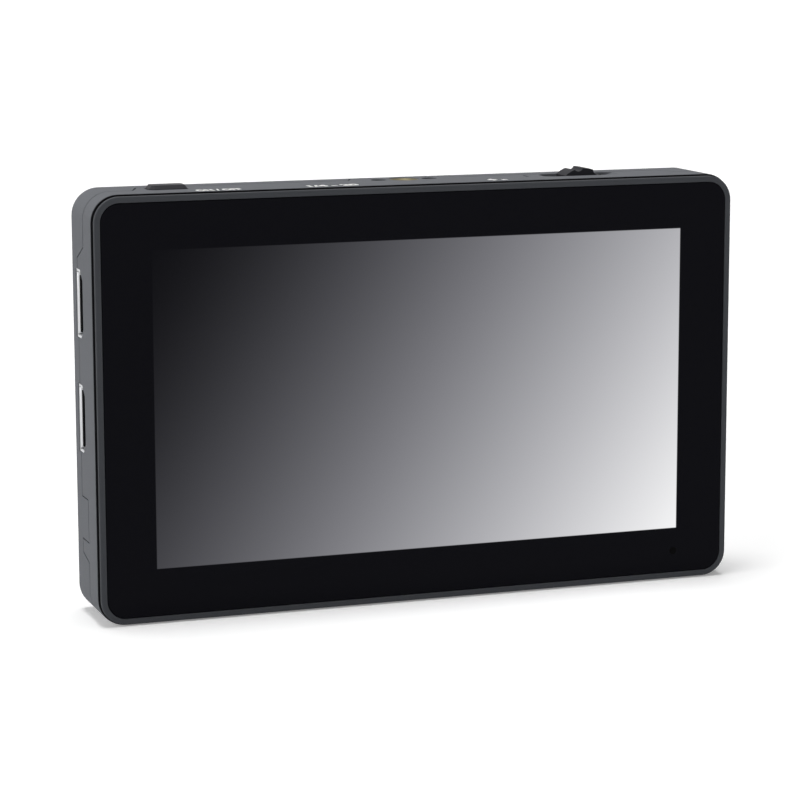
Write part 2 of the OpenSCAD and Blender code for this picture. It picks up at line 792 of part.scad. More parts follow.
module headphone_jack() {
    color(control_black) difference() {
        union() {
            block([59.5, right_face - 1.9], [board_rear, 15.8], [headphone_z - 3.2, headphone_z + 3.2]);
            rod_x(13.1, headphone_z, 3, [right_face - 2.4, right_face]);
        }
        rod_x(13.1, headphone_z, 1.8, [61, right_face + cut]);
    }
}

module service_port() {
    color(steel) translate([right_face, y_at(12), service_z]) rotate([90, 0, -90]) difference() {
        linear_extrude(7.4) rotate(90) stadium(8.9, 3.2);
        translate([0, 0, -cut]) linear_extrude(7.1 + cut) rotate(90) stadium(8.3, 2.6);
    }
}

module service_port_tongue() {
    color(control_black) {
        block([right_face - 7.05, right_face - 1.2], [11.65, 12.35], [service_z - 3.3, service_z + 3.3]);
        block([right_face - 7.05, right_face - 5.6], [10.9, 13.1], [service_z - 2.8, service_z + 2.8]);
    }
}

// Barrel jack body with a round nozzle, and its centre pin
module barrel_jack(z) {
    color(control_black) difference() {
        union() {
            block([59.6, right_face - 2.4], [board_rear, 17], [z - 4.6, z + 4.6]);
            rod_x(13.6, z, 3.9, [right_face - 2.6, right_face]);
        }
        rod_x(13.6, z, 2.85, [63, right_face + cut]);
        rod_x(13.6, z, 1, [61.5, 64]);
    }
}
module barrel_pin(z) {
    color(steel) {
        rod_x(13.6, z, 1, [61.5, right_face - 1.6]);
        translate([right_face - 1.6, y_at(13.6), z]) sphere(r = 1);
    }
}
module power_out_jack() {
    barrel_jack(power_out_z);
}
module power_out_pin() {
    barrel_pin(power_out_z);
}
module power_in_jack() {
    barrel_jack(power_in_z);
}
module power_in_pin() {
    barrel_pin(power_in_z);
}

// ---- Battery plate ----

module plate_screw_spots() {
    for (sx = [-1, 1], z = [mid_z - plate_h / 2 + 4, mid_z + plate_h / 2 - 13])
        translate([sx * (plate_w / 2 - 4), 0, z]) children();
}

// Base plate with a raised rail; four lips on the rail hold the battery's slots
module battery_plate() {
    color(control_black) difference() {
        union() {
            translate([0, y_at(plate_rear), mid_z]) rotate([90, 0, 0])
                soft_block(plate_w, plate_h, plate_r, plate_rear - plate_front, 0.4, 0);
            block([-rail_w / 2, rail_w / 2], [plate_rear - 0.01, total_depth], [contact_z[0], 72.4]);
            for (s = [0, 1], z = [27, 58]) mirror([s, 0, 0])
                block([rail_w / 2 - 0.01, rail_w / 2 + 2], [total_depth - 1, total_depth], [z, z + 10]);
        }
        // Hollowed middle of the rail, and the bay of the contact block
        block([-rail_w / 2 + 4, rail_w / 2 - 4], [plate_rear + 0.4, total_depth + cut], [34, 66]);
        block([-12.2, 12.2], [plate_rear - 0.6, total_depth + cut], [contact_z[0] + 1.5, contact_z[1] + 5.5]);
        block([-4.2, 4.2], [plate_front - cut, total_depth], [plug_z - 2, plug_z + 2]);
        block([-tooth_w / 2 - 0.3, tooth_w / 2 + 0.3], [plate_front - cut, total_depth], [latch_z - 2, latch_z + 2.2]);
        translate([release_x, y_at(plate_front - cut), latch_z]) rotate([-90, 0, 0])
            linear_extrude(plate_rear - plate_front + 2 * cut) rounded_rect(6.6, 7.2, 1);
        plate_screw_spots() {
            rod_y(0, 0, 1.1, [plate_front - cut, plate_rear + cut]);
            translate([0, y_at(plate_rear - 1), 0]) rotate([-90, 0, 0]) cylinder(r1 = 1.1, r2 = 2.1, h = 1.01);
        }
        plate_marks();
    }
}

// Shallow arrow that shows which way the battery slides
module plate_marks() {
    for (s = [-1, 1]) translate([s * 22.3, y_at(plate_rear - 0.3), 40]) rotate([-90, 0, 0]) linear_extrude(1)
        polygon([[-2.4, -3], [2.4, -3], [0, 3]]);
}

module battery_plate_screws() {
    color(steel) plate_screw_spots() difference() {
        union() {
            rod_y(0, 0, 0.8, [18.4, plate_rear - 0.9]);
            translate([0, y_at(plate_rear - 1), 0]) rotate([-90, 0, 0]) cylinder(r1 = 1, r2 = 1.9, h = 0.9);
        }
        screw_cross(plate_rear - 0.1, 1);
    }
}

module battery_contact_block() {
    color(control_black) block([-12, 12], [plate_rear - 0.55, total_depth - 0.2], contact_z_block());
}
function contact_z_block() = [contact_z[0] + 1.6, contact_z[1]];

// Spring-hard blades that slide into the battery
module battery_contacts() {
    color(brass) for (x = blade_x)
        block([x - 0.4, x + 0.4], [plate_rear + 0.3, total_depth - 0.5], [contact_z[1] + 0.02, contact_z[1] + 4.8]);
}

module battery_leads() {
    color([0.75, 0.1, 0.1]) for (x = [-2, 2]) rod_y(x, plug_z, 0.6, [14.35, plate_rear - 0.6]);
}

module battery_plug() {
    color("ivory") block([-4.5, 4.5], [board_rear, 14.3], [plug_z - 2.4, plug_z + 2.4]);
}

// Bar that carries the thumb pad and the sloped tooth which stops the battery
module battery_release() {
    color(control_black) difference() {
        union() {
            block([-4, 27.6], [latch_bar_front, latch_bar_rear], [latch_z - 3.6, latch_z + 3.6]);
            translate([-tooth_w / 2, 0, 0]) rotate([90, 0, 90]) linear_extrude(tooth_w)
                polygon([[y_at(latch_bar_rear - 0.2), latch_z - 1.7], [y_at(25.3), latch_z - 1.7],
                         [y_at(25.3), latch_z - 0.9], [y_at(plate_rear), latch_z + 1.9],
                         [y_at(latch_bar_rear - 0.2), latch_z + 1.9]]);
            translate([release_x, y_at(25.1), latch_z]) rotate([90, 0, 0])
                soft_block(6.2, 6.8, 0.8, 25.1 - latch_bar_rear + 0.2, 0.4, 0);
        }
        rod_y(spring_x, latch_z, 1.9, [latch_bar_front - cut, 20.9]);
        for (h = [-1.8, 0, 1.8]) block([release_x - 2.4, release_x + 2.4], [24.7, 26], [latch_z + h - 0.3, latch_z + h + 0.3]);
    }
}

module release_spring() {
    color(steel) translate([spring_x, y_at(spring_seat) + 0.02, latch_z]) rotate([-90, 0, 0]) coil(1.5, 5, 5.16, 0.18);
}

// ---- Drawing ----

front_frame();
cover_glass();
glass_tape();
bonding_layer();
display_panel();
backlight_unit();
panel_tray();
status_light_pipe();
front_housing();
rear_housing();
housing_screws();
frame_screws();
main_board();
board_standoffs();
board_screws();
processor_chip();
thermal_pad();
heat_spreader();
spreader_screws();
display_flex();
touch_flex();
control_board();
control_board_screws();
control_flex();
power_button();
power_switch();
menu_dial();
dial_axle();
dial_carriage();
dial_switch();
dial_spring();
top_thread_insert();
bottom_thread_insert();
upper_video_socket();
upper_video_tongue();
lower_video_socket();
lower_video_tongue();
headphone_jack();
service_port();
service_port_tongue();
power_out_jack();
power_out_pin();
power_in_jack();
power_in_pin();
battery_plate();
battery_plate_screws();
battery_contact_block();
battery_contacts();
battery_leads();
battery_plug();
battery_release();
release_spring();
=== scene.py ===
"""The looks of the camera field monitor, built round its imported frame. Lengths are in metres."""
import math

import bmesh
import bpy
from mathutils import Matrix, Vector


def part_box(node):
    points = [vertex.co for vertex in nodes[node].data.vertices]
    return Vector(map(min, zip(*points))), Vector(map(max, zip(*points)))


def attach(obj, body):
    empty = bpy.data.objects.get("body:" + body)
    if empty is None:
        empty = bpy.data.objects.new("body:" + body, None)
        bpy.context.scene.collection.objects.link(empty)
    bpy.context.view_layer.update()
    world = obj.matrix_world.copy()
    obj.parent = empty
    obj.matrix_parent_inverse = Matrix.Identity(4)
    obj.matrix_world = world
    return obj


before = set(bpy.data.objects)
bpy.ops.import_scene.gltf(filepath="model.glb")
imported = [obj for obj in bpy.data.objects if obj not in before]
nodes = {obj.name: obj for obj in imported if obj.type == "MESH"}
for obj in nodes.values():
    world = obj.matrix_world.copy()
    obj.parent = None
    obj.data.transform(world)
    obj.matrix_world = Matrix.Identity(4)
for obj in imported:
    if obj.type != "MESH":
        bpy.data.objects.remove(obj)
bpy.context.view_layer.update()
MM = 0.001

# Heights and depths that the new pieces take from the frame
top_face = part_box("rear_housing")[1].z
rim_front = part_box("front_frame")[0].y
glass_low, glass_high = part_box("cover_glass")
glass_middle = (glass_low + glass_high) / 2
# Places on the glass, in millimetres from its middle: half the lit picture, how high it sits, and the status light
picture_half = (60.9, 34.25)
picture_lift = 0.1
status_light = (60.2, -39.5)


# ---- Materials ----

def linear(hex_colour):
    """An sRGB hex value as the linear colour that shaders take."""
    parts = [int(hex_colour[i:i + 2], 16) / 255 for i in (0, 2, 4)]
    return tuple(p / 12.92 if p <= 0.04045 else ((p + 0.055) / 1.055) ** 2.4 for p in parts) + (1.0,)


def add_node(tree, kind, inputs=None, **settings):
    """Adds a node, sets its settings, and links or sets its inputs."""
    node = tree.nodes.new(kind)
    for name, value in settings.items():
        setattr(node, name, value)
    for socket, value in (inputs or {}).items():
        if isinstance(value, bpy.types.NodeSocket):
            tree.links.new(value, node.inputs[socket])
        else:
            node.inputs[socket].default_value = value
    return node


def empty_tree(owner, output_kind):
    """The cleared node tree of a material or a world, with its output."""
    owner.use_nodes = True
    tree = owner.node_tree
    tree.nodes.clear()
    return tree, add_node(tree, output_kind)


def new_material(name):
    """A material with an empty node tree, its output, and object coordinates in millimetres."""
    material = bpy.data.materials.new(name)
    tree, output = empty_tree(material, "ShaderNodeOutputMaterial")
    place = add_node(tree, "ShaderNodeTexCoord")
    in_mm = add_node(tree, "ShaderNodeVectorMath", {0: place.outputs["Object"], "Scale": 1000.0}, operation="SCALE")
    return material, tree, output, in_mm.outputs["Vector"]


def moulded_plastic(name, colour, roughness, grain_mm, grain_depth, shade=0.06, level=0.5):
    """Injection-moulded plastic: spark-eroded grain, and a slight cloudy change of shade and gloss."""
    cloud_mm, gloss_change = 22, 0.05
    material, tree, output, mm = new_material(name)
    grain = add_node(tree, "ShaderNodeTexNoise", {"Vector": mm, "Scale": 1 / grain_mm, "Detail": 2.0,
                                                  "Roughness": 0.6})
    cloud = add_node(tree, "ShaderNodeTexNoise", {"Vector": mm, "Scale": 1 / cloud_mm, "Detail": 3.0})
    base = linear(colour)
    fleck_shade = 0.7 * shade
    dark = tuple(c * (1 - shade) for c in base[:3]) + (1.0,)
    pale = tuple(min(1.0, c * (1 + shade)) for c in base[:3]) + (1.0,)
    tone = add_node(tree, "ShaderNodeMix", {"Factor": cloud.outputs["Fac"], "A": dark, "B": pale}, data_type="RGBA")
    fleck = add_node(tree, "ShaderNodeMapRange", {"Value": grain.outputs["Fac"], "From Min": 0.3, "From Max": 0.7,
                                                  "To Min": 1 - fleck_shade, "To Max": 1 + fleck_shade})
    tint = add_node(tree, "ShaderNodeVectorMath", {0: tone.outputs["Result"], "Scale": fleck.outputs["Result"]},
                    operation="SCALE")
    gloss = add_node(tree, "ShaderNodeMapRange", {"Value": cloud.outputs["Fac"], "From Min": 0.3, "From Max": 0.7,
                                                  "To Min": roughness - gloss_change,
                                                  "To Max": roughness + gloss_change})
    bump = add_node(tree, "ShaderNodeBump", {"Height": grain.outputs["Fac"], "Strength": 0.6,
                                             "Distance": grain_depth * MM})
    shader = add_node(tree, "ShaderNodeBsdfPrincipled", {"Base Color": tint.outputs["Vector"],
                                                         "Roughness": gloss.outputs["Result"],
                                                         "Specular IOR Level": level, "IOR": 1.53,
                                                         "Normal": bump.outputs["Normal"]})
    tree.links.new(shader.outputs["BSDF"], output.inputs["Surface"])
    return material


def plated_metal(name, colour, roughness, streak_axis=None, streak_mm=0.15):
    """Plated or turned metal, with fine drawn or turned lines along streak_axis and small marks."""
    line_stretch, mark_mm, gloss_change = 0.04, 1.6, 0.08
    material, tree, output, mm = new_material(name)
    stretch = [1.0, 1.0, 1.0]
    if streak_axis is not None:
        stretch[streak_axis] = line_stretch
    lines = add_node(tree, "ShaderNodeVectorMath", {0: mm, 1: stretch}, operation="MULTIPLY")
    wear = add_node(tree, "ShaderNodeTexNoise", {"Vector": lines.outputs["Vector"], "Scale": 1 / streak_mm,
                                                 "Detail": 2.0})
    marks = add_node(tree, "ShaderNodeTexNoise", {"Vector": mm, "Scale": 1 / mark_mm, "Detail": 3.0})
    base = linear(colour)
    dark = tuple(c * 0.86 for c in base[:3]) + (1.0,)
    tone = add_node(tree, "ShaderNodeMix", {"Factor": marks.outputs["Fac"], "A": dark, "B": base}, data_type="RGBA")
    gloss = add_node(tree, "ShaderNodeMapRange", {"Value": wear.outputs["Fac"], "From Min": 0.3, "From Max": 0.7,
                                                  "To Min": roughness - gloss_change,
                                                  "To Max": roughness + gloss_change})
    bump = add_node(tree, "ShaderNodeBump", {"Height": wear.outputs["Fac"], "Strength": 0.3, "Distance": 0.01 * MM})
    shader = add_node(tree, "ShaderNodeBsdfPrincipled", {"Base Color": tone.outputs["Result"], "Metallic": 1.0,
                                                         "Roughness": gloss.outputs["Result"],
                                                         "Normal": bump.outputs["Normal"]})
    tree.links.new(shader.outputs["BSDF"], output.inputs["Surface"])
    return material


def clear_plastic(name, colour):
    """Clear moulded acrylic with slow flow marks in its gloss."""
    smoothest, dullest = 0.05, 0.13
    material, tree, output, mm = new_material(name)
    flow = add_node(tree, "ShaderNodeTexNoise", {"Vector": mm, "Scale": 1 / 3, "Detail": 1.0})
    gloss = add_node(tree, "ShaderNodeMapRange", {"Value": flow.outputs["Fac"], "To Min": smoothest,
                                                  "To Max": dullest})
    shader = add_node(tree, "ShaderNodeBsdfPrincipled", {"Base Color": linear(colour), "Transmission Weight": 0.9,
                                                         "Roughness": gloss.outputs["Result"], "IOR": 1.49})
    tree.links.new(shader.outputs["BSDF"], output.inputs["Surface"])
    return material


def circuit_board(name):
    """Green solder mask over copper tracks 0.25 mm wide on a 0.6 mm pitch, with tinned round lands."""
    # A wave scale of 0.52 puts the tracks 0.6 mm apart
    bend_mm, land_mm, track_scale = 9.0, 3.2, 0.52
    material, tree, output, mm = new_material(name)
    bend = add_node(tree, "ShaderNodeTexNoise", {"Vector": mm, "Scale": 1 / bend_mm, "Detail": 0.0})
    shift = add_node(tree, "ShaderNodeVectorMath", {0: bend.outputs["Color"], "Scale": bend_mm}, operation="SCALE")
    route = add_node(tree, "ShaderNodeVectorMath", {0: mm, 1: shift.outputs["Vector"]}, operation="ADD")
    tracks = add_node(tree, "ShaderNodeTexWave", {"Vector": route.outputs["Vector"], "Scale": track_scale,
                                                  "Distortion": 0.0}, wave_type="BANDS", bands_direction="X")
    copper = add_node(tree, "ShaderNodeMapRange", {"Value": tracks.outputs["Fac"], "From Min": 0.55, "From Max": 0.7})
    mask = add_node(tree, "ShaderNodeMix", {"Factor": copper.outputs["Result"], "A": linear("0b3a20"),
                                            "B": linear("14562f")}, data_type="RGBA")
    lands = add_node(tree, "ShaderNodeTexVoronoi", {"Vector": mm, "Scale": 1 / land_mm, "Randomness": 0.8})
    dot = add_node(tree, "ShaderNodeMapRange", {"Value": lands.outputs["Distance"], "From Min": 0.13, "From Max": 0.11})
    colour = add_node(tree, "ShaderNodeMix", {"Factor": dot.outputs["Result"], "A": mask.outputs["Result"],
                                              "B": linear("b5b2a6")}, data_type="RGBA")
    bump = add_node(tree, "ShaderNodeBump", {"Height": copper.outputs["Result"], "Strength": 0.5,
                                             "Distance": 0.03 * MM})
    shader = add_node(tree, "ShaderNodeBsdfPrincipled", {"Base Color": colour.outputs["Result"],
                                                         "Metallic": dot.outputs["Result"], "Roughness": 0.3,
                                                         "Normal": bump.outputs["Normal"]})
    tree.links.new(shader.outputs["BSDF"], output.inputs["Surface"])
    return material


def bonded_glass(name):
    """Cover glass with a black printed border and a coating that keeps reflections low, bonded to the lit panel.
    The picture is a plain grey slope that brightens to the lower right; the status light is a dark dot while off."""
    edge, front_face, light_radius, light_edge = 0.08, -0.45, 0.95, 0.8
    # The slope's values, which run from 0 to 1: in the middle, and the change per millimetre to the right and up
    middle_value, per_mm_right, per_mm_up = 0.4843, 0.005635, -0.003745
    contrast, darken, offset, power = 1.018, 0.018, 0.055, 2.4
    material, tree, output, mm = new_material(name)
    middle = add_node(tree, "ShaderNodeVectorMath", {0: mm, 1: (-glass_middle / MM)}, operation="ADD")
    axes = add_node(tree, "ShaderNodeSeparateXYZ", {0: middle.outputs["Vector"]})
    height = add_node(tree, "ShaderNodeMath", {0: axes.outputs["Z"], 1: picture_lift}, operation="SUBTRACT")
    inside = []
    for place, half in ((axes.outputs["X"], picture_half[0]), (height.outputs[0], picture_half[1])):
        off = add_node(tree, "ShaderNodeMath", {0: place}, operation="ABSOLUTE")
        inside.append(add_node(tree, "ShaderNodeMapRange", {"Value": off.outputs[0], "From Min": half + edge,
                                                            "From Max": half - edge}))
    area = add_node(tree, "ShaderNodeMath", {0: inside[0].outputs[0], 1: inside[1].outputs[0]}, operation="MULTIPLY")
    front = add_node(tree, "ShaderNodeMath", {0: axes.outputs["Y"], 1: front_face}, operation="LESS_THAN")
    lit = add_node(tree, "ShaderNodeMath", {0: area.outputs[0], 1: front.outputs[0]}, operation="MULTIPLY")
    across = add_node(tree, "ShaderNodeMath", {0: axes.outputs["X"], 1: per_mm_right, 2: middle_value},
                      operation="MULTIPLY_ADD")
    slope = add_node(tree, "ShaderNodeMath", {0: height.outputs[0], 1: per_mm_up, 2: across.outputs[0]},
                     operation="MULTIPLY_ADD")
    # The mid greys are a little blue. The last step turns the picture's even values into light
    cool = add_node(tree, "ShaderNodeMath", {0: slope.outputs[0], 1: -0.07, 2: 1.07}, operation="MULTIPLY_ADD")
    blue = add_node(tree, "ShaderNodeMath", {0: slope.outputs[0], 1: cool.outputs[0]}, operation="MULTIPLY")
    channels = []
    for level in (slope, blue):
        value = add_node(tree, "ShaderNodeMath", {0: level.outputs[0], 1: contrast / (1 + offset),
                                                  2: (offset - darken) / (1 + offset)},
                         operation="MULTIPLY_ADD", use_clamp=True)
        channels.append(add_node(tree, "ShaderNodeMath", {0: value.outputs[0], 1: power}, operation="POWER"))
    grey = add_node(tree, "ShaderNodeCombineColor", {0: channels[0].outputs[0], 1: channels[0].outputs[0],
                                                     2: channels[1].outputs[0]})
    flat = add_node(tree, "ShaderNodeCombineXYZ", {"X": axes.outputs["X"], "Z": axes.outputs["Z"]})
    away = add_node(tree, "ShaderNodeVectorMath", {0: flat.outputs[0], 1: (status_light[0], 0, status_light[1])},
                    operation="DISTANCE")
    dot = add_node(tree, "ShaderNodeMapRange", {"Value": away.outputs["Value"], "From Min": light_radius,
                                                "From Max": light_edge})
    border = add_node(tree, "ShaderNodeMix", {"Factor": dot.outputs["Result"], "A": linear("0b0b11"),
                                              "B": linear("010102")}, data_type="RGBA")
    shader = add_node(tree, "ShaderNodeBsdfPrincipled", {"Base Color": border.outputs["Result"], "Roughness": 0.04,
                                                         "Specular IOR Level": 0.035, "IOR": 1.5,
                                                         "Emission Color": grey.outputs["Color"],
                                                         "Emission Strength": lit.outputs[0]})
    tree.links.new(shader.outputs["BSDF"], output.inputs["Surface"])
    return material


# ABS off a spark-eroded mould: a dry, even, cool grey with no highlight
housing_abs = moulded_plastic("textured_abs_housing", "696b6f", 0.8, 0.22, 0.05, level=0.08)
# The housing's plastic, finer grained, in a darker slate that is painted shade for the front-facing rim; a little silky
# at the rim's edges
frame_abs_painted_shade = moulded_plastic("satin_abs_frame_painted_shade", "404246", 0.65, 0.18, 0.02, level=0.15)
# Smooth ABS keys, rubbed by fingers: near black with a soft sheen
button_abs = moulded_plastic("satin_abs_button", "2c2c30", 0.6, 0.2, 0.02, level=0.15)
dial_abs = moulded_plastic("satin_abs_dial", "242428", 0.62, 0.2, 0.03, level=0.12)
# Glass-filled nylon: dull black with faint pale fibre flecks
plate_abs = moulded_plastic("glass_filled_nylon_plate", "323235", 0.62, 0.25, 0.05, shade=0.12, level=0.3)
switch_abs = moulded_plastic("switch_housing_plastic", "454549", 0.5, 0.3, 0.02, level=0.3)
# Socket and jack bodies: dead black, so that the bright metal stands out
socket_nylon = moulded_plastic("socket_nylon", "101012", 0.85, 0.3, 0.01, level=0.02)
chip_epoxy = moulded_plastic("chip_epoxy", "222224", 0.6, 0.12, 0.02, level=0.3)
ivory_nylon = moulded_plastic("ivory_nylon_plug", "cfc7ac", 0.45, 0.3, 0.01)
# Closed-cell foam under the glass; its near-black also serves as painted shade in the groove behind the rim and in the
# slit beside the dial
foam_and_painted_shade = moulded_plastic("black_foam_and_painted_shade", "161618", 0.95, 0.3, 0.05, level=0.01)
gap_pad = moulded_plastic("silicone_gap_pad", "8795ad", 0.8, 0.4, 0.04)
# Films of the panel: milky white behind, deep grey gloss in front
diffuser = moulded_plastic("white_diffuser", "e6e6e4", 0.7, 0.5, 0.01, shade=0.01)
polariser = moulded_plastic("polarising_film", "26262c", 0.18, 2.0, 0.002, shade=0.02)
wire_sleeve = moulded_plastic("pvc_wire_sleeve", "a11c18", 0.4, 0.5, 0.01)
polyimide = moulded_plastic("polyimide_flat_cable", "9a5a1c", 0.3, 0.8, 0.01, shade=0.12)
# Plated and drawn steel: bright, with fine marks that break up the reflections
steel_plated = plated_metal("zinc_plated_steel", "b9babc", 0.34)
shell_steel = plated_metal("bright_plated_shell", "d4d5d7", 0.36, streak_axis=0)
spring_wire = plated_metal("drawn_spring_steel", "a6a7aa", 0.3)
black_screw = plated_metal("black_zinc_screw", "3a3a3c", 0.42)
# Turned brass, a little tarnished: dull olive gold with fine lines along the bore
insert_brass = plated_metal("turned_brass", "706a55", 0.6, streak_axis=2, streak_mm=0.1)
contact_gold = plated_metal("gold_plated_contact", "d8b25a", 0.25)
blasted_aluminium = plated_metal("blasted_aluminium", "a9abae", 0.5)
clear_acrylic = clear_plastic("clear_acrylic", "eef2f2")
board_mask = circuit_board("solder_mask_board")
cover_glass = bonded_glass("coated_bonded_glass")
# Pad-print ink: flat white, a little uneven
print_white = moulded_plastic("white_pad_print", "f2f2f0", 0.7, 0.2, 0.01, shade=0.03, level=0.1)

finish_of = {
    housing_abs: ["front_housing", "rear_housing"],
    frame_abs_painted_shade: ["front_frame"],
    button_abs: ["power_button", "battery_release"],
    dial_abs: ["menu_dial"],
    plate_abs: ["battery_plate"],
    switch_abs: ["power_switch", "dial_switch"],
    socket_nylon: ["upper_video_tongue", "lower_video_tongue", "headphone_jack", "service_port_tongue",
                   "power_out_jack", "power_in_jack"],
    chip_epoxy: ["processor_chip", "dial_carriage", "battery_contact_block"],
    ivory_nylon: ["battery_plug"],
    foam_and_painted_shade: ["glass_tape"],
    gap_pad: ["thermal_pad"],
    diffuser: ["backlight_unit"],
    polariser: ["display_panel"],
    wire_sleeve: ["battery_leads"],
    polyimide: ["display_flex", "touch_flex", "control_flex"],
    steel_plated: ["panel_tray", "frame_screws", "board_screws", "spreader_screws", "control_board_screws",
                   "dial_axle", "power_out_pin", "power_in_pin"],
    shell_steel: ["upper_video_socket", "lower_video_socket", "service_port"],
    spring_wire: ["dial_spring", "release_spring"],
    black_screw: ["housing_screws", "battery_plate_screws"],
    insert_brass: ["top_thread_insert", "bottom_thread_insert", "board_standoffs"],
    contact_gold: ["battery_contacts"],
    blasted_aluminium: ["heat_spreader"],
    clear_acrylic: ["status_light_pipe", "bonding_layer"],
    board_mask: ["main_board", "control_board"],
    cover_glass: ["cover_glass"],
}
for finish, names in finish_of.items():
    for name in names:
        nodes[name].data.materials.clear()
        nodes[name].data.materials.append(finish)


# ---- Floor, light and camera ----

def white_where_seen(tree, unseen, seen):
    """A strength: one value for the light on the object, another for what the camera, metal or glass sees."""
    rays = add_node(tree, "ShaderNodeLightPath")
    mirror = add_node(tree, "ShaderNodeMath", {0: rays.outputs["Is Glossy Ray"],
                                               1: rays.outputs["Is Transmission Ray"]}, operation="MAXIMUM")
    view = add_node(tree, "ShaderNodeMath", {0: rays.outputs["Is Camera Ray"], 1: mirror.outputs[0]},
                    operation="MAXIMUM")
    strength = add_node(tree, "ShaderNodeMapRange", {"Value": view.outputs[0], "To Min": unseen, "To Max": seen})
    return strength.outputs["Result"]


def studio():
    """Plain white paper under soft light: a broad light from above, a low one from the left, a dim white room."""
    paper_size, paper_back, paper_white, paper_glow, room_light = 8, 1.2, 0.92, 0.24, 0.16
    bpy.ops.mesh.primitive_plane_add(size=paper_size, location=(0, paper_back, 0))
    floor = bpy.context.object
    floor.name = "floor"
    paper = bpy.data.materials.new("white_paper_floor")
    tree, output = empty_tree(paper, "ShaderNodeOutputMaterial")
    matt = add_node(tree, "ShaderNodeBsdfDiffuse", {"Color": (paper_white, paper_white, paper_white, 1.0)})
    glow = add_node(tree, "ShaderNodeEmission", {"Strength": white_where_seen(tree, 0.0, paper_glow)})
    both = add_node(tree, "ShaderNodeAddShader", {0: matt.outputs[0], 1: glow.outputs[0]})
    tree.links.new(both.outputs[0], output.inputs["Surface"])
    floor.data.materials.append(paper)

    world = bpy.data.worlds.new("white_room")
    bpy.context.scene.world = world
    tree, output = empty_tree(world, "ShaderNodeOutputWorld")
    sky = add_node(tree, "ShaderNodeBackground", {"Color": (1.0, 1.0, 1.0, 1.0),
                                                  "Strength": white_where_seen(tree, room_light, 1.0)})
    tree.links.new(sky.outputs[0], output.inputs["Surface"])

    # Name, direction, share of full white given to a surface turned to it, and spread in degrees.
    # A light's strength is pi times its share
    for name, towards, share, spread in (("overhead_light", (-0.04, 0.04, 1.0), 0.63, 24),
                                         ("left_light", (-0.90, -0.30, 0.34), 0.5, 60)):
        bpy.ops.object.light_add(type="SUN", location=(0, 0, 1))
        lamp = bpy.context.object
        lamp.name = name
        lamp.data.energy = math.pi * share
        lamp.data.angle = math.radians(spread)
        lamp.rotation_mode = "QUATERNION"
        lamp.rotation_quaternion = (-Vector(towards)).to_track_quat("-Z", "Y")


def photo_camera():
    """The camera that the edges of the housing, the rim and the picture give."""
    bpy.ops.object.camera_add(location=(-0.208725, -0.586055, 0.149516))
    camera = bpy.context.object
    camera.name = "photo_camera"
    camera.data.lens = 127.23
    camera.data.sensor_width = 36
    right = Vector((0.94254768, -0.33406493, -0.00212049))
    up = Vector((0.05830614, 0.15825127, 0.98567587))
    forward = Vector((0.32894417, 0.92917015, -0.16863741))
    camera.rotation_mode = "QUATERNION"
    camera.rotation_quaternion = Matrix((right, up, -forward)).transposed().to_quaternion()
    camera.data.clip_start = 0.01
    bpy.context.scene.camera = camera


bpy.context.scene.view_settings.view_transform = "Standard"
photo_camera()
studio()


# ---- New pieces ----

def at(x, depth, z):
    """A point in metres from a width, a depth behind the rim's front face and a height, in millimetres."""
    return Vector((x * MM, rim_front + depth * MM, z * MM))


def settle(piece):
    """Leaves only this piece selected, with its place, turn and size in its mesh."""
    bpy.ops.object.select_all(action="DESELECT")
    piece.select_set(True)
    bpy.context.view_layer.objects.active = piece
    bpy.ops.object.transform_apply(location=True, rotation=True, scale=True)
    return piece


def add_box(low, high):
    """A box between two corners, ready to be shaped."""
    bpy.ops.object.select_all(action="DESELECT")
    bpy.ops.mesh.primitive_cube_add(size=1, location=(low + high) / 2)
    piece = bpy.context.object
    piece.scale = high - low
    return settle(piece)


def pick_faces(piece, test):
    """Goes into edit mode with only those faces selected whose middle and normal pass the test."""
    bpy.ops.object.mode_set(mode="EDIT")
    bpy.ops.mesh.select_mode(type="FACE")
    bpy.ops.mesh.select_all(action="DESELECT")
    mesh = bmesh.from_edit_mesh(piece.data)
    for face in mesh.faces:
        face.select_set(test(face.calc_center_median(), face.normal))
    bmesh.update_edit_mesh(piece.data)


def close_up(piece):
    """Merges doubled points, turns the faces outwards and leaves edit mode."""
    if piece.mode != "EDIT":
        bpy.ops.object.mode_set(mode="EDIT")
    bpy.ops.mesh.select_all(action="SELECT")
    bpy.ops.mesh.remove_doubles(threshold=1e-7)
    bpy.ops.mesh.normals_make_consistent(inside=False)
    bpy.ops.object.mode_set(mode="OBJECT")


def modify(piece, kind, **settings):
    """Adds a modifier and applies it."""
    change = piece.modifiers.new(kind.lower(), kind)
    for name, value in settings.items():
        setattr(change, name, value)
    bpy.context.view_layer.objects.active = piece
    bpy.ops.object.modifier_apply(modifier=change.name)


def soften(piece, width):
    """Rounds the sharp edges by a width in millimetres."""
    modify(piece, "BEVEL", width=width * MM, segments=2, limit_method="ANGLE", angle_limit=math.radians(40))


def copy_of(piece):
    """A copy with its own mesh."""
    twin = piece.copy()
    twin.data = piece.data.copy()
    bpy.context.collection.objects.link(twin)
    return twin


def join(pieces):
    """Makes one object of several."""
    bpy.ops.object.select_all(action="DESELECT")
    for piece in pieces:
        piece.select_set(True)
    bpy.context.view_layer.objects.active = pieces[0]
    bpy.ops.object.join()
    return pieces[0]


def finish_piece(piece, name, material, smooth=None):
    """Names a finished piece, gives it its finish, and lets it ride on the monitor."""
    settle(piece)
    if smooth is not None:
        bpy.ops.object.shade_smooth_by_angle(angle=math.radians(smooth))
    piece.name = name
    piece.data.name = name
    piece.data.materials.clear()
    piece.data.materials.append(material)
    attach(piece, "monitor")


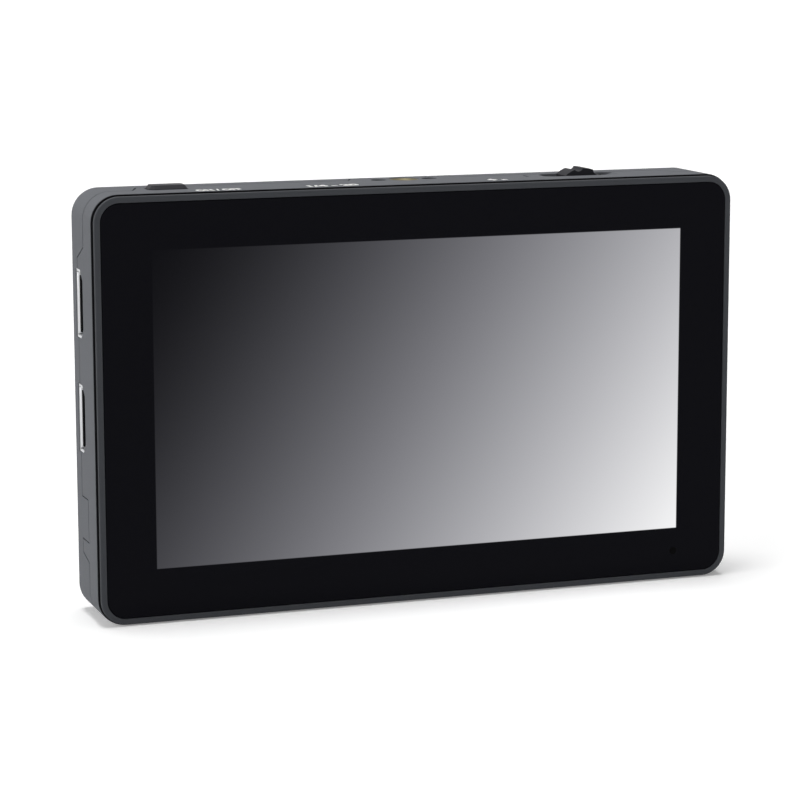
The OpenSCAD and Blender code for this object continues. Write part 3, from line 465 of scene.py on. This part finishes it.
def groove_painted_shade():
    """Black foam bead at the back of the shadow groove behind the rim, put there as painted shade to darken the groove.
    """
    frame_low, frame_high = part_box("front_frame")
    overhang, inward, front, back = 0.28, 0.98, 1.25, 1.89
    frame_corner, edge = 5.55, 0.12
    width = frame_high.x - frame_low.x + 2 * overhang * MM
    height = frame_high.z - frame_low.z + 2 * overhang * MM
    middle = (frame_low + frame_high) / 2
    bpy.ops.object.select_all(action="DESELECT")
    bpy.ops.mesh.primitive_plane_add(size=1, location=(0, rim_front + front * MM, middle.z),
                                     rotation=(math.pi / 2, 0, 0))
    shade_bead = bpy.context.object
    shade_bead.scale = (width, height, 1)
    settle(shade_bead)
    bpy.ops.object.mode_set(mode="EDIT")
    bpy.ops.mesh.select_all(action="SELECT")
    bpy.ops.mesh.bevel(offset=(frame_corner + overhang) * MM, segments=14, affect="VERTICES")
    bpy.ops.mesh.select_all(action="SELECT")
    bpy.ops.mesh.inset(thickness=inward * MM)
    bpy.ops.mesh.delete(type="FACE")
    bpy.ops.mesh.select_all(action="SELECT")
    bpy.ops.mesh.extrude_region_move(TRANSFORM_OT_translate={"value": (0, (back - front) * MM, 0)})
    close_up(shade_bead)
    soften(shade_bead, edge)
    finish_piece(shade_bead, "groove_painted_shade", foam_and_painted_shade, 50)


def thread_ridge(name, insert, turned):
    """The ridge of a quarter-inch thread, 1.27 mm from turn to turn, inside the bore of an insert."""
    low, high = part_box(insert)
    axis = (low + high) / 2
    pitch, turns, bore, crest, start = 1.27, 4, 2.62, 2.38, 6.13
    foot, crest_share, steps = 0.9, 0.2, 40
    bpy.ops.object.select_all(action="DESELECT")
    bpy.ops.mesh.primitive_plane_add(size=1, rotation=(math.pi / 2, 0, 0))
    ridge = bpy.context.object
    ridge.scale = ((bore - crest) * MM, foot * MM, 1)
    settle(ridge)
    for point in ridge.data.vertices:
        point.co.x += (bore + crest) / 2 * MM
        if point.co.x < (bore + crest) / 2 * MM:
            point.co.z *= crest_share
    bpy.ops.object.mode_set(mode="EDIT")
    bpy.ops.mesh.select_all(action="SELECT")
    bpy.ops.mesh.delete(type="ONLY_FACE")
    bpy.ops.object.mode_set(mode="OBJECT")
    modify(ridge, "SCREW", axis="Z", angle=math.tau, screw_offset=pitch * MM, iterations=turns, steps=steps,
           render_steps=steps)
    bpy.ops.object.mode_set(mode="EDIT")
    bpy.ops.mesh.select_mode(type="VERT")
    bpy.ops.mesh.select_all(action="DESELECT")
    bpy.ops.mesh.select_non_manifold()
    bpy.ops.mesh.fill_holes(sides=0)
    close_up(ridge)
    if turned:
        ridge.rotation_euler = (math.pi, 0, 0)
        ridge.location = (axis.x, axis.y, low.z + start * MM)
    else:
        ridge.location = (axis.x, axis.y, high.z - start * MM)
    finish_piece(ridge, name, insert_brass, 40)


def socket_contacts(name, socket):
    """Two rows of gold strips 1 mm apart on the tongue of a video socket: ten behind and nine in front."""
    low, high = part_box(socket)
    middle = (low + high) / 2
    start, end, half_width, half_thick, proud, pitch = 0.9, 9, 0.23, 0.03, 0.02, 1.0
    rows = []
    # Depth of the tongue's face, number of strips, and the way that the face looks
    for depth, count, side in ((1.05, 10, 1), (-0.2, 9, -1)):
        face = middle.y + depth * MM
        first = middle.z - (count - 1) / 2 * MM
        strip = add_box(Vector((low.x + start * MM, face - half_thick * MM, first - half_width * MM)),
                        Vector((low.x + end * MM, face + half_thick * MM, first + half_width * MM)))
        strip.location.y = side * proud * MM
        settle(strip)
        pick_faces(strip, lambda place, normal: normal.x < -0.5)
        bpy.ops.transform.resize(value=(1, 0.4, 0.5))
        close_up(strip)
        modify(strip, "ARRAY", count=count, use_relative_offset=False, use_constant_offset=True,
               constant_offset_displace=(0, 0, pitch * MM))
        rows.append(strip)
    finish_piece(join(rows), name, contact_gold)


def socket_springs(name, socket):
    """Four sprung fingers in the windows of a video socket's shell, bowed inwards."""
    low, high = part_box(socket)
    middle = (low + high) / 2
    sheet_in, sheet_out, root_front, root_back, half_width, row = 2.47, 2.75, 6.2, 6.9, 0.8, 3.4
    finger = add_box(Vector((low.x + root_front * MM, middle.y + sheet_in * MM, middle.z - half_width * MM)),
                     Vector((low.x + root_back * MM, middle.y + sheet_out * MM, middle.z + half_width * MM)))
    pick_faces(finger, lambda place, normal: normal.x < -0.5)
    for forward, inward in ((1.6, 0.28), (1.2, 0.3), (0.5, 0.02), (1.0, -0.32)):
        bpy.ops.mesh.extrude_region_move(TRANSFORM_OT_translate={"value": (-forward * MM, -inward * MM, 0)})
    close_up(finger)
    soften(finger, 0.06)
    fingers = []
    for side in (1, -1):
        for lift in (-row, row):
            twin = copy_of(finger)
            if side < 0:
                twin.scale.y = -1
                twin.location.y = 2 * middle.y
            twin.location.z = lift * MM
            settle(twin)
            close_up(twin)
            fingers.append(twin)
    bpy.data.objects.remove(finger, do_unlink=True)
    finish_piece(join(fingers), name, shell_steel, 40)


def socket_lip(name, socket):
    """The bright folded lip inside the rear edge of a video socket's mouth."""
    low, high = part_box(socket)
    middle = (low + high) / 2
    inner, outer, half, mouth, reach, rise = 2.3, 2.46, 6.6, 0.03, 1.1, 0.32
    lip = add_box(Vector((low.x + mouth * MM, middle.y + inner * MM, middle.z - half * MM)),
                  Vector((low.x + reach * MM, middle.y + outer * MM, middle.z + half * MM)))
    pick_faces(lip, lambda place, normal: normal.x > 0.5)
    bpy.ops.transform.translate(value=(0, -rise * MM, 0))
    bpy.ops.mesh.extrude_region_move(TRANSFORM_OT_translate={"value": (0.5 * MM, 0.2 * MM, 0)})
    close_up(lip)
    soften(lip, 0.05)
    finish_piece(lip, name, shell_steel, 40)


def printed_mark(name, words, middle, width, height):
    """A pad print that lies on the top face and reads from the front."""
    thickness, boldness = 0.02, 0.06
    bpy.ops.object.select_all(action="DESELECT")
    bpy.ops.object.text_add(location=(0, 0, 0))
    mark = bpy.context.object
    mark.data.body = words
    mark.data.align_x = "CENTER"
    mark.data.size = 1.0
    mark.data.offset = boldness
    bpy.ops.object.convert(target="MESH")
    mark = bpy.context.object
    bpy.ops.object.mode_set(mode="EDIT")
    bpy.ops.mesh.select_all(action="SELECT")
    bpy.ops.mesh.extrude_region_move(TRANSFORM_OT_translate={"value": (0, 0, thickness)})
    close_up(mark)
    mark.scale = (width * MM / mark.dimensions.x, height * MM / mark.dimensions.y, MM)
    settle(mark)
    low = [min(point.co[axis] for point in mark.data.vertices) for axis in range(3)]
    high = [max(point.co[axis] for point in mark.data.vertices) for axis in range(3)]
    target = at(middle[0], middle[1], 0)
    mark.location = (target.x - (low[0] + high[0]) / 2, target.y - (low[1] + high[1]) / 2, top_face - low[2])
    finish_piece(mark, name, print_white)


def slit_painted_shade():
    """Black sheet just under the top face, in the narrow slit beside the dial, put there as painted shade to darken the
    slit.
    """
    left, right, front, back, down, under = 27.66, 28.14, 9.36, 12.24, 0.8, 0.06
    rim, dip, edge = 0.08, 0.05, 0.03
    mesh = add_box(at(left, front, top_face / MM - down), at(right, back, top_face / MM - under))
    pick_faces(mesh, lambda place, normal: normal.z > 0.5)
    bpy.ops.mesh.inset(thickness=rim * MM)
    bpy.ops.transform.translate(value=(0, 0, -dip * MM))
    close_up(mesh)
    soften(mesh, edge)
    finish_piece(mesh, "slit_painted_shade", foam_and_painted_shade, 40)


groove_painted_shade()
slit_painted_shade()
thread_ridge("top_thread_ridge", "top_thread_insert", False)
thread_ridge("bottom_thread_ridge", "bottom_thread_insert", True)
for level in ("upper", "lower"):
    socket_contacts(f"{level}_socket_contacts", f"{level}_video_socket")
    socket_springs(f"{level}_socket_springs", f"{level}_video_socket")
    socket_lip(f"{level}_socket_lip", f"{level}_video_socket")
printed_mark("mark_on_off", "ON / OFF", (-45.0, 4.2), 10.0, 3.4)
printed_mark("mark_thread_size", "1/4 - 20", (-19.2, 5.0), 11.4, 3.4)
printed_mark("mark_plus_minus", "+ -", (18.8, 5.2), 4.3, 3.6)
